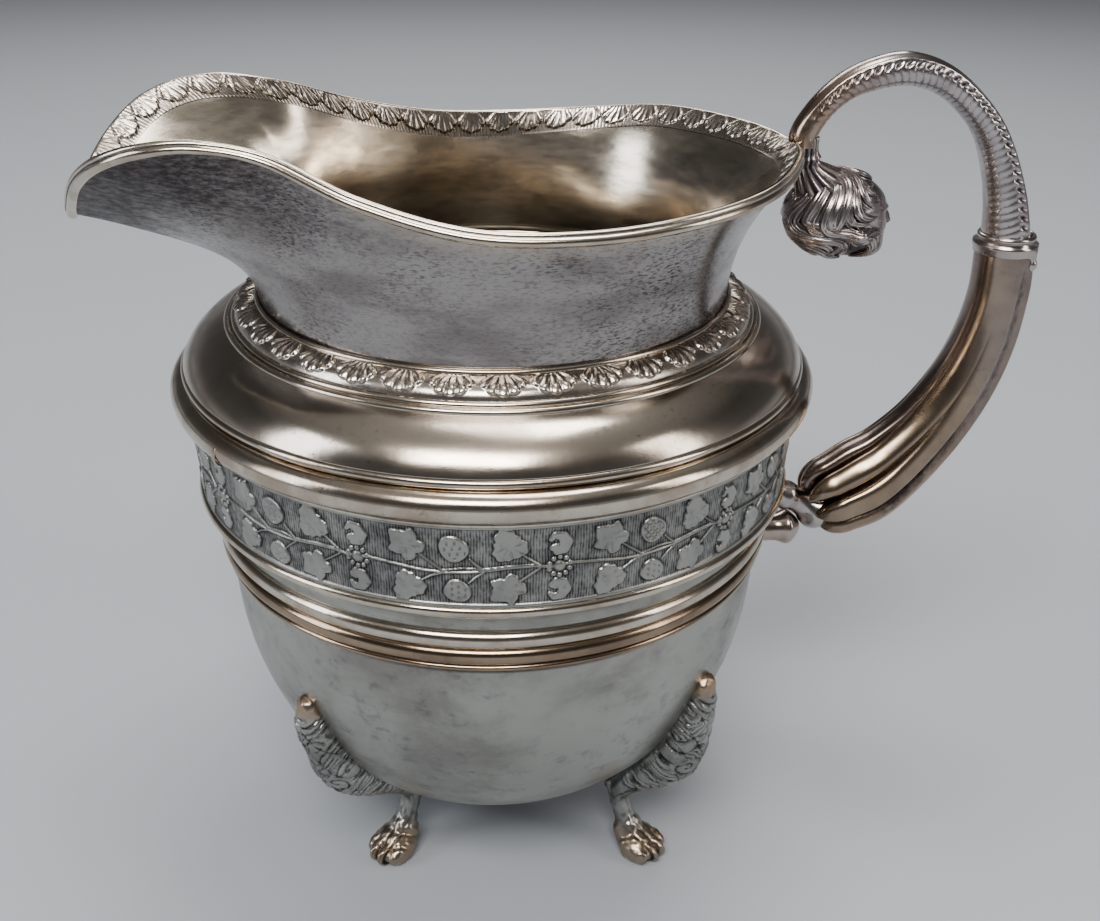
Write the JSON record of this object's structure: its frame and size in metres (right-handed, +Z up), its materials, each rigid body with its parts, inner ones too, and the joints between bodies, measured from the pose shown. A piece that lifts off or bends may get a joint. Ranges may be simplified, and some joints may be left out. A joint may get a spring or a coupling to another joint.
{
  "type": "footed cream jug",
  "caption": "Silver cream jug with a round banded body, a helmet-shaped neck with a broad pouring lip, a loop handle and lion-leg feet.",
  "frame": {"origin": "on the surface the jug stands on, under the middle of its whole length; the bowl's axis is 16.1 mm towards the lip from it", "axes": "+X from the pouring lip towards the handle, +Z up, and the jug's mirror plane is the XZ plane"},
  "size_m": [0.1711, 0.1138, 0.1512],
  "materials": {
    "silver_sheet": "raised sheet silver, worn polish with cloudy tarnish",
    "silver_moulding": "drawn silver wire, bright on its crests and dark in its grooves",
    "silver_relief": "die-rolled silver, oxidised ground with rubbed relief",
    "silver_cast": "cast and chased silver, dark in its lines",
    "silver_fluted": "polished fluted silver with a brownish tarnish",
    "silver_legs": "cast and chased silver, worn to a coppery tone on its high spots"
  },
  "bodies": {
    "root": {"bowl": "silver_sheet", "lower_reed": "silver_moulding", "upper_reed": "silver_moulding", "cavetto_ring": "silver_moulding", "band_lower_wire": "silver_moulding", "decorated_band": "silver_relief", "band_upper_wire": "silver_moulding", "torus_ring": "silver_moulding", "shoulder_bead": "silver_moulding", "shoulder": "silver_sheet", "leaf_collar": "silver_relief", "collar_wire": "silver_moulding", "neck": "silver_sheet", "lip_strip": "silver_relief", "lip_wire": "silver_moulding", "handle_head": "silver_cast", "handle_arch": "silver_cast", "handle_ferrule": "silver_cast", "handle_sleeve": "silver_fluted", "handle_bracket": "silver_cast", "handle_lug": "silver_cast", "leg_front_left": "silver_legs", "leg_front_right": "silver_legs", "leg_back_left": "silver_legs", "leg_back_right": "silver_legs"}
  },
  "joints": []
}
